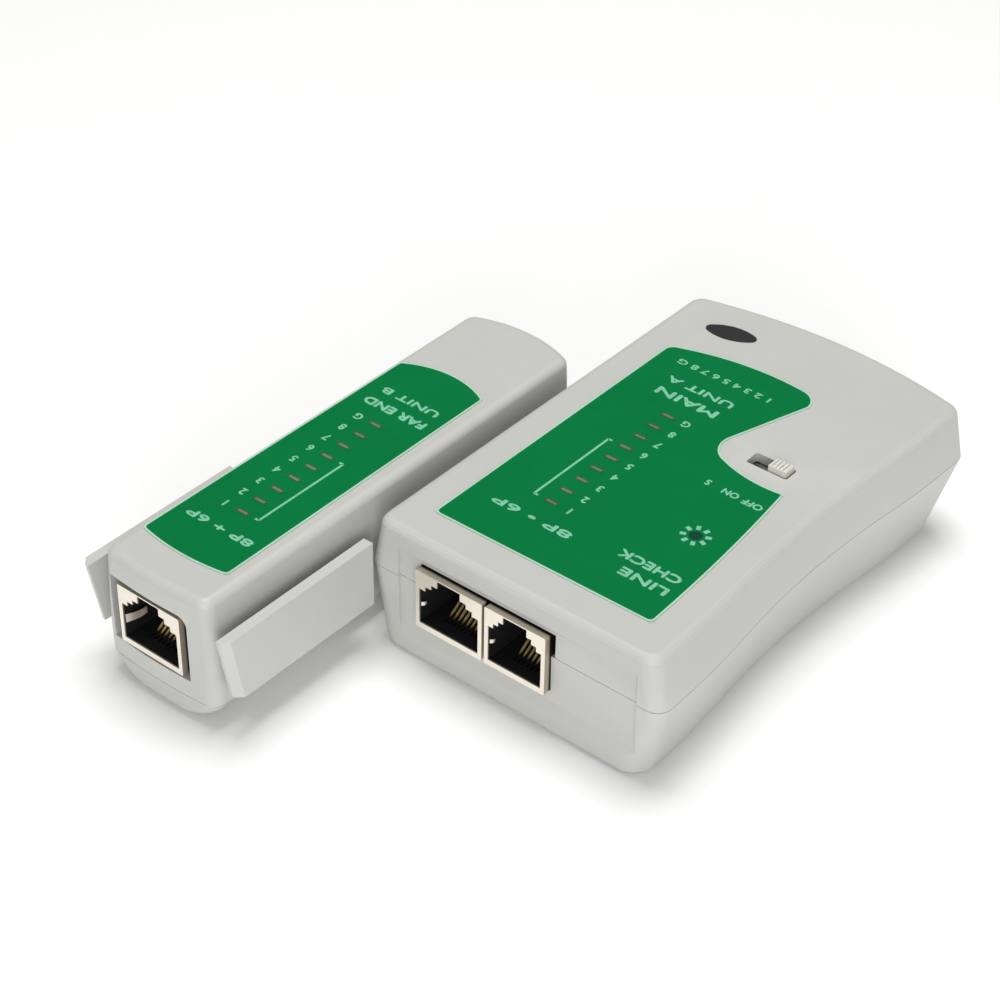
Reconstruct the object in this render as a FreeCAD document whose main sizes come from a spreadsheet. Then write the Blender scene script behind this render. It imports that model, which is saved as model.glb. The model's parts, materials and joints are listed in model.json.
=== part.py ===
import FreeCAD, Part

import math
import os

import Sketcher

# A two-piece network cable tester, in millimetres: a master unit and a hand-held remote unit.
# Origin: centre of the master's flat underside. +Y runs along the case, away from the jacks; +Z is up.

doc = FreeCAD.newDocument("network_cable_tester")
sheet = doc.addObject("Spreadsheet::Sheet", "Sizes")

DRIVING_SIZES = {
    # the master's case, from its straight left side to its waisted right side
    "case_height": 29.5,
    "parting_height": 18.4,
    "front_face": 52.8,
    "rear_face": 52.8,
    "rear_arch_radius": 115.0,
    "case_wall": 2.0,
    "corner_radius": 3.2,
    "base_corner_radius": 5.0,
    "top_edge_radius": 1.8,
    "bottom_edge_radius": 1.8,
    "top_left": 32.0,
    "top_right": 32.2,
    "top_waist": 2.1,
    "middle_left": 34.0,
    "middle_right": 33.9,
    "middle_waist": 2.7,
    "middle_rear_step": 1.2,
    "base_left": 32.4,
    "base_right": 30.0,
    "base_waist": 2.5,
    "base_front_lean": 0.3,
    "base_rear_lean": 1.8,
    "front_panel_depth": 0.6,
    "front_panel_left": 26.4,
    "front_panel_right": 28.6,
    "front_panel_low": 7.6,
    "front_panel_high": 24.4,
    "seam_gap": 0.12,
    # modular jacks: standard shielded 8-way and 6-way sockets, side by side
    "jack_bottom": 10.2,
    "jack_height": 13.2,
    "jack_depth": 16.0,
    "jack_proud": 1.1,
    "wide_jack_width": 15.8,
    "wide_jack_centre": -13.3,
    "narrow_jack_width": 14.0,
    "narrow_jack_centre": 2.2,
    "shield_sheet": 0.3,
    "frame_side": 0.9,
    "frame_bottom": 1.2,
    "plug_room_height": 8.0,
    "latch_step": 1.05,
    "latch_width": 5.4,
    "plug_depth": 11.5,
    "contact_pitch": 1.02,
    "contact_wire": 0.36,
    # indicator lamps: nine in a row on each unit, and one round power lamp
    "lamp_pitch": 4.544,
    "lamp_length": 3.6,
    "lamp_width": 1.2,
    "lamp_column": -10.0,
    "first_lamp": -28.4,
    "power_lamp_x": 16.3,
    "power_lamp_y": -19.3,
    "power_lamp_radius": 1.5,
    # slide switch, shown at its off end
    "slot_left": 10.0,
    "slot_right": 19.2,
    "slot_front": 5.7,
    "slot_rear": 9.5,
    "knob_length": 4.0,
    "knob_height": 1.3,
    "slot_corner": 0.5,
    "sliding_clearance": 0.45,
    # printed overlays
    "overlay_thickness": 0.25,
    "overlay_recess": 0.1,
    "badge_x": -17.6,
    "badge_y": 40.2,
    "badge_length": 11.1,
    "badge_width": 4.9,
    "badge_end_radius": 1.25,
    "badge_turn": 12.0,
    # board and what hangs from it
    "board_bottom": 23.6,
    "board_thickness": 1.6,
    "board_half_width": 27.4,
    "board_front": 49.6,
    "board_rear": 41.0,
    "boss_radius": 2.8,
    "boss_bore": 1.1,
    "boss_x": 25.2,
    "front_boss_y": -44.5,
    "rear_boss_x": 23.0,
    "rear_boss_y": 39.5,
    # nine-volt block battery, its clip and its sliding door
    "battery_width": 26.5,
    "battery_height": 17.5,
    "battery_length": 46.4,
    "battery_front": -5.5,
    "battery_bottom": 2.6,
    "terminal_height": 2.1,
    "door_half_width": 16.5,
    "door_front": -8.0,
    "door_thickness": 2.0,
    "door_clearance": 0.25,
    # the remote unit, standing in front of the master's left side
    "remote_x": -50.2,
    "remote_front": -91.0,
    "remote_rear": 10.4,
    "remote_front_arch": 1.0,
    "remote_rear_arch": 4.1,
    "remote_top_half": 12.9,
    "remote_belly_half": 14.1,
    "remote_belly_height": 10.5,
    "remote_parting": 5.5,
    "remote_parting_half": 13.9,
    "remote_foot_half": 4.0,
    "remote_keel_arch": 1.5,
    "wing_outside": 18.5,
    "wing_thickness": 2.2,
    "wing_top": 24.0,
    "wing_bottom": 9.5,
    "wing_front": -92.4,
    "wing_rear": -53.8,
    "wing_slant": 2.7,
    "wing_chamfer": 1.5,
    "remote_boss_radius": 2.2,
    "remote_jack_shift": -1.3,
    "remote_jack_bottom": 10.2,
    "remote_jack_proud": 1.0,
    "remote_window_left": 11.6,
    "remote_window_right": 8.2,
    "remote_window_low": 9.6,
    "remote_window_high": 24.2,
    "remote_window_corner": 2.2,
    "remote_lamp_shift": -1.0,
    "remote_first_lamp": -67.6,
}

for row, (alias, number) in enumerate(DRIVING_SIZES.items(), start=1):
    sheet.set(f"A{row}", alias.replace("_", " "))
    sheet.set(f"B{row}", str(number))
    sheet.setAlias(f"B{row}", alias)
doc.recompute()


class Size:
    """A length: its value now, and the expression that keeps it bound to the sheet."""

    def __init__(self, value, text):
        self.value = value
        self.text = text

    def __add__(self, other):
        other = as_size(other)
        return Size(self.value + other.value, f"({self.text} + {other.text})")

    def __sub__(self, other):
        other = as_size(other)
        return Size(self.value - other.value, f"({self.text} - {other.text})")

    def __mul__(self, other):
        other = as_size(other)
        return Size(self.value * other.value, f"({self.text} * {other.text})")

    def __truediv__(self, other):
        other = as_size(other)
        return Size(self.value / other.value, f"({self.text} / {other.text})")

    def __neg__(self):
        return Size(-self.value, f"(0 - {self.text})")

    def __radd__(self, other):
        return as_size(other) + self

    def __rsub__(self, other):
        return as_size(other) - self

    def __rmul__(self, other):
        return as_size(other) * self


def as_size(number):
    """A plain number as a Size, so that both kinds can be mixed."""
    if isinstance(number, Size):
        return number
    return Size(float(number), f"({float(number)!r})")


class SheetSizes:
    """The sheet's cells by name."""

    def __getattr__(self, alias):
        return Size(DRIVING_SIZES[alias], f"Sizes.{alias}")


size = SheetSizes()


def square_root(number):
    return Size(math.sqrt(number.value), f"sqrt({number.text})")


def bind(thing, prop, amount):
    """Set a property through an expression on the sheet."""
    thing.setExpression(prop, as_size(amount).text)


# ---------------------------------------------------------------- drawing on sketches

def pin_point(sketch, geometry, end, x, y):
    """Hold one end of a line or arc, or a circle's centre, at a place given by the sheet."""
    for kind, place in (("DistanceX", as_size(x)), ("DistanceY", as_size(y))):
        number = sketch.addConstraint(Sketcher.Constraint(kind, -1, 1, geometry, end, place.value))
        bind(sketch, f"Constraints[{number}]", place)


def arc_height(chord, radius):
    """How far an arc stands off its chord; the sign is the radius's own."""
    reach = abs(radius)
    return math.copysign(reach - math.sqrt(reach ** 2 - chord ** 2 / 4), radius)


def outline(points, bulges=None, arcs=None):
    """A closed outline, anticlockwise. Edges bend by arc height (bulges) or radius (arcs).

    A positive height or radius bends the edge outward, a negative one inward.
    """
    bulges = bulges or {}
    arcs = arcs or {}

    def draw(sketch):
        ends = []
        for number, start in enumerate(points):
            stop = points[(number + 1) % len(points)]
            first = FreeCAD.Vector(as_size(start[0]).value, as_size(start[1]).value, 0)
            last = FreeCAD.Vector(as_size(stop[0]).value, as_size(stop[1]).value, 0)
            if number not in bulges and number not in arcs:
                geometry = sketch.addGeometry(Part.LineSegment(first, last), False)
                ends.append((geometry, 1, 2))
                continue
            chord = last - first
            if number in arcs:
                radius = as_size(arcs[number])
                outwards = radius.value > 0
                radius = radius if outwards else -radius
                height = abs(arc_height(chord.Length, radius.value))
            else:
                rise = as_size(bulges[number])
                outwards = rise.value > 0
                rise = rise if outwards else -rise
                height = rise.value
                across = as_size(stop[0]) - start[0]
                along = as_size(stop[1]) - start[1]
                radius = ((across * across + along * along) / 4 + rise * rise) / (rise * 2)
            side = FreeCAD.Vector(chord.y, -chord.x, 0).normalize() * (1 if outwards else -1)
            centre = (first + last) / 2 - side * (radius.value - height)
            angles = [math.atan2(end.y - centre.y, end.x - centre.x) for end in (first, last)]
            if not outwards:
                angles.reverse()
            round_edge = Part.Circle(centre, FreeCAD.Vector(0, 0, 1), radius.value)
            geometry = sketch.addGeometry(Part.ArcOfCircle(round_edge, angles[0], angles[1]), False)
            ends.append((geometry, 1, 2) if outwards else (geometry, 2, 1))
            held = sketch.addConstraint(Sketcher.Constraint("Radius", geometry, radius.value))
            bind(sketch, f"Constraints[{held}]", radius)
        for number, (geometry, begin, _) in enumerate(ends):
            before, _, finish = ends[number - 1]
            sketch.addConstraint(Sketcher.Constraint("Coincident", before, finish, geometry, begin))
            pin_point(sketch, geometry, begin, *points[number])

    return draw


def rectangle(left, low, right, high):
    return outline([(left, low), (right, low), (right, high), (left, high)])


def rounded_rectangle(left, low, right, high, corner):
    return outline([(left + corner, low), (right - corner, low), (right, low + corner),
                    (right, high - corner), (right - corner, high), (left + corner, high),
                    (left, high - corner), (left, low + corner)],
                   arcs={1: corner, 3: corner, 5: corner, 7: corner})


def circle(x, y, radius):
    def draw(sketch):
        centre = FreeCAD.Vector(as_size(x).value, as_size(y).value, 0)
        ring = Part.Circle(centre, FreeCAD.Vector(0, 0, 1), as_size(radius).value)
        geometry = sketch.addGeometry(ring, False)
        number = sketch.addConstraint(Sketcher.Constraint("Radius", geometry, as_size(radius).value))
        bind(sketch, f"Constraints[{number}]", radius)
        pin_point(sketch, geometry, 3, x, y)

    return draw


# ---------------------------------------------------------------- bodies and their features

# On each plane, what a sketch's own normal is along its axis: the XZ plane looks along -Y.
NORMAL = {"XY": 1, "XZ": -1, "YZ": 1}


class Piece:
    """One sub-part: a PartDesign body made of sketches and features."""

    def __init__(self, label):
        self.body = doc.addObject("PartDesign::Body", label)
        self.body.Label = label
        self.features = 0
        pieces.append(self.body)

    def name(self, kind):
        self.features += 1
        return f"{self.body.Name}_{kind}{self.features}"

    def sketch(self, plane, level, drawings):
        """A sketch on one of the body's own planes, moved to a level along that plane's axis."""
        sketch = self.body.newObject("Sketcher::SketchObject", self.name("sketch"))
        planes = {feature.Role: feature for feature in self.body.Origin.OriginFeatures}
        sketch.AttachmentSupport = [(planes[f"{plane}_Plane"], "")]
        sketch.MapMode = "FlatFace"
        bind(sketch, "AttachmentOffset.Base.z", as_size(level) * NORMAL[plane])
        for draw in drawings:
            draw(sketch)
        return sketch

    def volume(self):
        doc.recompute()
        return self.body.Shape.Volume if self.body.Tip else 0.0

    def pad(self, plane, low, high, *drawings):
        """Add material between two levels."""
        before = self.volume()
        pad = self.body.newObject("PartDesign::Pad", self.name("pad"))
        pad.Profile = self.sketch(plane, low, drawings)
        pad.Reversed = NORMAL[plane] < 0
        bind(pad, "Length", as_size(high) - low)
        if self.volume() <= before:
            raise ValueError(f"{pad.Name} adds nothing")
        return pad

    def pocket(self, plane, low, high, *drawings):
        """Cut material away between two levels."""
        before = self.volume()
        pocket = self.body.newObject("PartDesign::Pocket", self.name("pocket"))
        pocket.Profile = self.sketch(plane, low, drawings)
        pocket.Reversed = NORMAL[plane] > 0
        bind(pocket, "Length", as_size(high) - low)
        if self.volume() >= before:
            raise ValueError(f"{pocket.Name} cuts nothing")
        return pocket

    def loft(self, sections, cut=False):
        """A ruled loft through outlines at levels of the XY plane, added or cut away."""
        before = self.volume()
        sketches = [self.sketch("XY", level, [draw]) for level, draw in sections]
        kind = "PartDesign::SubtractiveLoft" if cut else "PartDesign::AdditiveLoft"
        loft = self.body.newObject(kind, self.name("loft"))
        loft.Profile = sketches[0]
        loft.Sections = sketches[1:]
        loft.Ruled = True
        if (self.volume() >= before) if cut else (self.volume() <= before):
            raise ValueError(f"{loft.Name} changes nothing")
        return loft

    def fillet(self, radius, wanted, chamfer=False):
        """Round the edges for which wanted(edge) is true."""
        doc.recompute()
        tip = self.body.Tip
        edges = [f"Edge{i}" for i, edge in enumerate(tip.Shape.Edges, start=1) if wanted(edge)]
        if not edges:
            raise ValueError(f"{self.body.Label} has no such edge")
        kind, prop = ("Chamfer", "Size") if chamfer else ("Fillet", "Radius")
        feature = self.body.newObject(f"PartDesign::{kind}", self.name(kind.lower()))
        feature.Base = (tip, edges)
        bind(feature, prop, radius)
        doc.recompute()
        return feature

    def repeat(self, features, direction, spacing, count):
        """Repeat features in a row along one of the body's own axes."""
        doc.recompute()
        pattern = self.body.newObject("PartDesign::LinearPattern", self.name("row"))
        axes = {feature.Role: feature for feature in self.body.Origin.OriginFeatures}
        pattern.Originals = features
        pattern.Direction = (axes[f"{direction}_Axis"], [""])
        pattern.Occurrences = count
        bind(pattern, "Length", as_size(spacing) * (count - 1))
        self.body.Tip = pattern
        doc.recompute()
        return pattern


pieces = []


def upright(edge):
    """True for an edge that mostly climbs."""
    box = edge.BoundBox
    return box.ZLength > 2 * max(box.XLength, box.YLength)


def at_level(z, tolerance=0.01):
    """A test for edges that lie flat at one height."""
    level = as_size(z).value
    return lambda edge: abs(edge.BoundBox.ZMin - level) < tolerance > abs(edge.BoundBox.ZMax - level)


def primitive_group(label, solids):
    """Several separate identical solids in one node."""
    feature = doc.addObject("Part::Feature", label)
    feature.Label = label
    feature.Shape = Part.makeCompound(solids)
    pieces.append(feature)
    return feature


def box_between(low, high):
    """A box from its lowest and highest corners."""
    lower = FreeCAD.Vector(*[as_size(c).value for c in low])
    upper = FreeCAD.Vector(*[as_size(c).value for c in high])
    reach = upper - lower
    return Part.makeBox(reach.x, reach.y, reach.z, lower)


def rod(start, finish, radius):
    """A round bar from one point to another."""
    first = FreeCAD.Vector(*start)
    along = FreeCAD.Vector(*finish) - first
    return Part.makeCylinder(radius, along.Length, first, along)


# ---------------------------------------------------------------- the master's case

def case_outline(left, right, waist, front, rear, corner, inset=0):
    """The case in plan: straight front and left side, waisted right side, arched rear.

    Every run meets the next without a kink. The waist is three arcs of one radius, and each rear
    corner's circle lies inside the rear arch's circle and touches it.
    """
    left = -as_size(left) + inset
    right = as_size(right) - inset
    front = -as_size(front) + inset
    rear = as_size(rear) - inset
    corner = corner - inset * 0.8
    arch = size.rear_arch_radius - inset
    middle = (left + right) / 2
    reach = (right - left) / 2 - corner
    arch_centre = rear - arch
    corner_y = arch_centre + square_root((arch - corner) * (arch - corner) - reach * reach)
    touch_x = reach * arch / (arch - corner)
    touch_y = arch_centre + (corner_y - arch_centre) * arch / (arch - corner)
    side_start = front + corner
    quarter = (corner_y - side_start) / 4
    half_waist = as_size(waist) / 2
    waist_radius = (quarter * quarter + half_waist * half_waist) / waist
    points = [
        (left + corner, front), (right - corner, front),
        (right, side_start), (right - half_waist, side_start + quarter),
        (right - half_waist, corner_y - quarter), (right, corner_y),
        (middle + touch_x, touch_y), (middle - touch_x, touch_y),
        (left, corner_y), (left, side_start),
    ]
    return outline(points, arcs={1: corner, 2: waist_radius, 3: -waist_radius, 4: waist_radius,
                                 5: corner, 6: arch, 7: corner, 9: corner})


def base_level(inset=0):
    return case_outline(size.base_left, size.base_right, size.base_waist,
                        size.front_face - size.base_front_lean,
                        size.rear_face - size.base_rear_lean, size.base_corner_radius, inset)


def middle_level(inset=0):
    return case_outline(size.middle_left, size.middle_right, size.middle_waist, size.front_face,
                        size.rear_face + size.middle_rear_step, size.corner_radius, inset)


def top_level(inset=0):
    return case_outline(size.top_left, size.top_right, size.top_waist, size.front_face,
                        size.rear_face, size.corner_radius, inset)


def rounded_edge(level, z, radius, towards, steps=4):
    """Sections that roll the case's wall over into a flat face, with towards 1 for the top face."""
    sections = []
    for step in range(steps + 1):
        turn = math.pi / 2 * step / steps
        height = as_size(z) - radius * (towards * (1 - math.sin(turn)))
        sections.append((height, level(radius * (1 - math.cos(turn)))))
    return sections if towards > 0 else sections[::-1]


def jack_cutout(clearance_right):
    """The front opening that both jacks share."""
    left = size.wide_jack_centre - size.wide_jack_width / 2
    right = size.narrow_jack_centre + size.narrow_jack_width / 2
    top = size.jack_bottom + size.jack_height
    return rectangle(left - 0.1, size.jack_bottom - 0.1, right + clearance_right, top + 0.35)


# how far an overlay's recess stands clear of its edge
OVERLAY_FIT = 0.03
# where the two screws of the master's board stand, and how far along the remote its own two stand
BOARD_SCREWS = ((-22.0, -12.0), (22.0, 24.0))
REMOTE_SCREWS = (-71.4, 2.0)


def bosses(piece, low, high, radius):
    for x, y in boss_places():
        piece.pad("XY", low, high, circle(x, y, radius))


def boss_places():
    return [(-size.boss_x, size.front_boss_y), (size.boss_x, size.front_boss_y),
            (-size.rear_boss_x, size.rear_boss_y), (size.rear_boss_x, size.rear_boss_y)]


def front_panel(piece):
    """The shallow recessed panel that the jacks stand in: it leans with the wall and ends in slopes."""
    depth = size.front_panel_depth
    low, high = size.front_panel_low, size.front_panel_high
    face = -size.front_face
    foot = face + size.base_front_lean
    low_face = foot - size.base_front_lean * low / size.parting_height
    outside = face - 3
    piece.pocket("YZ", -size.front_panel_left, size.front_panel_right, outline([
        (outside, low - 6), (low_face + depth * 0.1, low - 2.2), (low_face + depth, low),
        (face + depth, size.parting_height), (face + depth, high), (face, high + 0.8),
        (outside, high + 4.8)]))


def lamp_slots(piece, low, high, column, first, margin):
    """Nine slots in a row, one over each lamp."""
    half_length = size.lamp_length / 2 + margin
    half_width = size.lamp_width / 2 + margin
    slot = piece.pocket("XY", low, high, rectangle(column - half_length, first - half_width,
                                                   column + half_length, first + half_width))
    return piece.repeat([slot], "Y", size.lamp_pitch, 9)


def make_top_cover():
    """The lid: top face, upper sides and the upper part of the jack opening."""
    cover = Piece("master_top_cover")
    seam = size.parting_height + size.seam_gap
    cover.loft([(seam, middle_level())]
               + rounded_edge(top_level, size.case_height, size.top_edge_radius, 1))
    front_panel(cover)
    cover.loft([(seam - 0.1, middle_level(size.case_wall)),
                (size.case_height - size.case_wall, top_level(size.case_wall))], cut=True)
    cover.pocket("XZ", -size.front_face - 1, -size.front_face + size.case_wall + 1, jack_cutout(1.0))
    ceiling = size.case_height - size.case_wall
    bosses(cover, size.parting_height + 0.4, ceiling + 0.2, size.boss_radius)
    cover.pocket("XY", size.parting_height, ceiling - 1,
                 *[circle(x, y, size.boss_bore) for x, y in boss_places()])
    board_top = size.board_bottom + size.board_thickness
    cover.pad("XY", board_top, ceiling + 0.2, *[circle(x, y, 2.2) for x, y in BOARD_SCREWS])
    cover.pocket("XY", board_top - 1, board_top + 2, *[circle(x, y, 0.85) for x, y in BOARD_SCREWS])
    cover.pocket("XY", size.case_height - size.overlay_recess, size.case_height + 1,
                 master_label_outline(OVERLAY_FIT))
    cover.pocket("XY", size.case_height - size.overlay_recess, size.case_height + 1, badge_outline(OVERLAY_FIT))
    cover.pocket("XY", ceiling - 1, size.case_height + 1,
                 rounded_rectangle(size.slot_left, size.slot_front, size.slot_right, size.slot_rear,
                                   size.slot_corner),
                 circle(size.power_lamp_x, size.power_lamp_y, size.power_lamp_radius + 0.15))
    lamp_slots(cover, ceiling - 1, size.case_height + 1, size.lamp_column, size.first_lamp, 0.15)


def door_frame(margin):
    """The door's opening in plan, running out through the rear of the case."""
    half = size.door_half_width + margin
    return rectangle(-half, size.door_front - margin, half, size.front_face + 8)


def make_bottom_case():
    """The tray: floor, lower sides, battery bay, door opening and screw wells."""
    case = Piece("master_bottom_case")
    case.loft(rounded_edge(base_level, 0, size.bottom_edge_radius, -1)
              + [(size.parting_height, middle_level())])
    front_panel(case)
    case.loft([(size.case_wall, base_level(size.case_wall)),
               (size.parting_height + 0.1, middle_level(size.case_wall))], cut=True)
    case.pocket("XZ", -size.front_face - 1, -size.front_face + size.case_wall + 2, jack_cutout(0.1))
    bosses(case, size.case_wall - 0.2, size.parting_height - 0.4, size.boss_radius)
    case.pocket("XY", -1, 12, *[circle(x, y, 2.2) for x, y in boss_places()])
    case.pocket("XY", 11, size.parting_height, *[circle(x, y, 1.35) for x, y in boss_places()])
    bay = size.battery_width / 2 + 0.5
    floor = size.case_wall - 0.2
    for side in (-1, 1):
        inner = bay * side
        outer = (bay + 1.4) * side
        low, high = (inner, outer) if side > 0 else (outer, inner)
        case.pad("XY", floor, 15, rectangle(low, size.battery_front - 7.4, high, size.rear_face - 6))
    case.pad("XY", floor, 12,
             rectangle(-bay - 0.7, size.battery_front - 7.4, bay + 0.7, size.battery_front - 6))
    case.pocket("XY", -1, size.door_thickness + size.door_clearance, door_frame(size.door_clearance))


def make_battery_door():
    """The door: a plate in the floor that carries the rear bottom edge and slides out rearwards."""
    door = Piece("battery_door")
    door.loft(rounded_edge(base_level, 0, size.bottom_edge_radius, -1)
              + [(size.parting_height, middle_level())])
    door.pocket("XY", size.door_thickness, size.case_height, rectangle(-60, -70, 60, 70))
    half = size.door_half_width
    door.pocket("XY", -1, size.case_height, rectangle(-60, -70, -half, 70), rectangle(half, -70, 60, 70))
    door.pocket("XY", -1, size.case_height, rectangle(-40, -70, 40, size.door_front))
    ridge = door.pocket("XY", -1, 0.5, rectangle(-7, size.door_front + 24, 7, size.door_front + 25))
    door.repeat([ridge], "Y", 2.2, 5)


# ---------------------------------------------------------------- printed overlays

def master_label_outline(margin=0):
    """The green overlay in plan, with its scooped notch round the switch."""
    points = [
        (-24.7 - margin, -44.7 - margin),
        (24.9 + margin, -44.3 - margin),
        (21.7 + margin, 0.6),
        (20.8, 1.45 + margin),
        (6.0, 3.7 + margin),
        (3.45 + margin, 9.3),
        (9.4 + margin, 28.2),
        (5.8, 32.5 + margin),
        (-22.4, 29.2 + margin),
        (-24.7 - margin, 27.0),
    ]
    return outline(points, {1: 0.6, 2: 0.3, 3: -1.05, 4: -1.0, 6: 1.0, 7: 1.8, 8: 0.5})


def badge_outline(margin=0):
    """The small oval badge: two flank arcs and two end arcs that meet without a kink."""
    turn = math.radians(DRIVING_SIZES["badge_turn"])
    end = size.badge_end_radius + margin
    half_length = size.badge_length / 2 + margin
    half_width = size.badge_width / 2 + margin
    end_centre = half_length - end
    flank = (end_centre * end_centre + half_width * half_width - end * end) / ((half_width - end) * 2)
    meet_x = flank * end_centre / (flank - end)
    meet_y = half_width - flank + flank * (flank - half_width) / (flank - end)
    corners = [(-meet_x, -meet_y), (meet_x, -meet_y), (meet_x, meet_y), (-meet_x, meet_y)]
    turned = [(size.badge_x + along * math.cos(turn) - across * math.sin(turn),
               size.badge_y + along * math.sin(turn) + across * math.cos(turn))
              for along, across in corners]
    return outline(turned, arcs={0: flank, 1: end, 2: flank, 3: end})


def make_labels():
    bottom = size.case_height - size.overlay_recess
    label = Piece("master_label")
    label.pad("XY", bottom, bottom + size.overlay_thickness, master_label_outline())
    label.fillet(1.3, lambda edge: upright(edge) and edge.BoundBox.YMax < -44)
    lamp_slots(label, bottom - 1, size.case_height + 1, size.lamp_column, size.first_lamp, 0.05)
    badge = Piece("master_badge")
    badge.pad("XY", bottom, bottom + size.overlay_thickness, badge_outline())
    remote = Piece("remote_label")
    remote.pad("XY", bottom, bottom + size.overlay_thickness, remote_label_outline())
    remote.fillet(1.3, upright)
    lamp_slots(remote, bottom - 1, size.case_height + 1, size.remote_x + size.remote_lamp_shift,
               size.remote_first_lamp, 0.05)


def remote_label_outline(margin=0):
    x = size.remote_x
    points = [
        (x - 11.8 - margin, -82.6 - margin),
        (x + 9.9 + margin, -82.6 - margin),
        (x + 9.4 + margin, -11.3 + margin),
        (x - 11.8 - margin, -11.9 + margin),
    ]
    return outline(points, {0: 1.2, 2: 3.0})


# ---------------------------------------------------------------- modular jacks

def plug_window(centre, width, bottom):
    """The opening that takes a plug and, up a flight of three steps, its latch."""
    half = width / 2 - size.frame_side
    latch = size.latch_width / 2
    step = (half - latch) / 3
    floor = bottom + size.frame_bottom
    shoulder = floor + size.plug_room_height
    right_side = [(half, floor)]
    for number in range(3):
        level = shoulder + size.latch_step * number
        right_side += [(half - step * number, level), (half - step * (number + 1), level)]
    right_side.append((latch, bottom + size.jack_height - 0.25))
    return outline([(centre + across, level) for across, level in right_side]
                   + [(centre - across, level) for across, level in reversed(right_side)])


def make_jack(prefix, centre, width, front, bottom, ways):
    """A shielded jack: folded metal shield, black housing and a row of contact springs."""
    low, high = bottom, bottom + size.jack_height
    left, right = centre - width / 2, centre + width / 2
    rear = front + size.jack_depth
    sheet_wall = size.shield_sheet
    shield = Piece(f"{prefix}_shield")
    shield.pad("XZ", front, rear, rectangle(left, low, right, high))
    shield.fillet(0.35, lambda edge: edge.BoundBox.YLength > 10)
    shield.pocket("XZ", front + sheet_wall, rear + 1,
                  rectangle(left + sheet_wall, low + sheet_wall, right - sheet_wall, high - sheet_wall))
    shield.pocket("XZ", front - 1, front + sheet_wall + 1, plug_window(centre, width, bottom))
    tab = 0.9
    shield.pad("XY", high - 0.1, size.board_bottom,
               rectangle(left + 0.2, front + 8, left + 0.2 + sheet_wall, front + 8 + tab * 2),
               rectangle(right - 0.2 - sheet_wall, front + 8, right - 0.2, front + 8 + tab * 2))

    housing = Piece(f"{prefix}_housing")
    gap = sheet_wall + 0.05
    housing.pad("XZ", front + gap, rear - 0.2, rectangle(left + gap, low + gap, right - gap, high - gap))
    housing.pocket("XZ", front - 1, front + size.plug_depth, plug_window(centre, width, bottom))
    floor = low + size.frame_bottom
    span = size.contact_pitch * (ways - 1) / 2
    slots = housing.pocket("YZ", centre - span - 0.28, centre - span + 0.28,
                           rectangle(front + 3, floor - 0.55, rear - 1.2, floor + 4.4))
    housing.repeat([slots], "X", size.contact_pitch, ways)

    make_contacts(f"{prefix}_contacts", centre, front, low, ways)


def make_contacts(label, centre, front, low, ways):
    """Contact springs: each runs back under the floor, then rises at a slant into the plug room."""
    pitch = DRIVING_SIZES["contact_pitch"]
    wire = DRIVING_SIZES["contact_wire"]
    y0 = as_size(front).value
    z0 = as_size(low).value + DRIVING_SIZES["frame_bottom"]
    springs = []
    for way in range(ways):
        x = as_size(centre).value + (way - (ways - 1) / 2) * pitch - wire / 2
        path = [(y0 + 3.4, z0 - 0.5), (y0 + 4.4, z0 - 0.5), (y0 + 9.8, z0 + 3.3), (y0 + 13.4, z0 + 3.3),
                (y0 + 13.4, z0 + 3.3 + wire), (y0 + 9.7, z0 + 3.3 + wire), (y0 + 4.3, z0 - 0.5 + wire),
                (y0 + 3.4, z0 - 0.5 + wire)]
        corners = [FreeCAD.Vector(x, y, z) for y, z in path]
        face = Part.Face(Part.makePolygon(corners + corners[:1]))
        springs.append(face.extrude(FreeCAD.Vector(wire, 0, 0)))
    primitive_group(label, springs)


# ---------------------------------------------------------------- switch and lamps

def make_switch():
    """A three-position slide switch: metal can on the board, knob through the slot in the lid."""
    board_top = size.board_bottom + size.board_thickness
    middle_y = (size.slot_front + size.slot_rear) / 2
    middle_x = (size.slot_left + size.slot_right) / 2
    can_top = size.case_height - size.case_wall - 0.3
    can = Piece("power_switch_can")
    can.pad("XY", board_top, can_top,
            rectangle(middle_x - 6.2, middle_y - 3.1, middle_x + 6.2, middle_y + 3.1))
    can.fillet(0.4, upright)
    can.pocket("XY", board_top + 0.5, can_top + 1,
               rectangle(size.slot_left + 0.1, middle_y - 1.4, size.slot_right - 0.1, middle_y + 1.4))

    knob = Piece("power_switch_knob")
    right = size.slot_right - size.sliding_clearance
    left = right - size.knob_length
    half_width = (size.slot_rear - size.slot_front) / 2 - size.sliding_clearance
    top = size.case_height + size.knob_height
    knob.pad("XY", can_top + 0.3, top,
             rectangle(left, middle_y - half_width, right, middle_y + half_width))
    knob.fillet(0.3, at_level(top))
    knob.pad("XY", board_top + 0.8, can_top + 0.4,
             rectangle(left + 0.4, middle_y - 1.1, right - 0.4, middle_y + 1.1))
    groove = knob.pocket("XY", top - 0.25, top + 1,
                         rectangle(left + 0.65, middle_y - 5, left + 0.95, middle_y + 5))
    knob.repeat([groove], "X", 0.8, 4)


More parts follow.
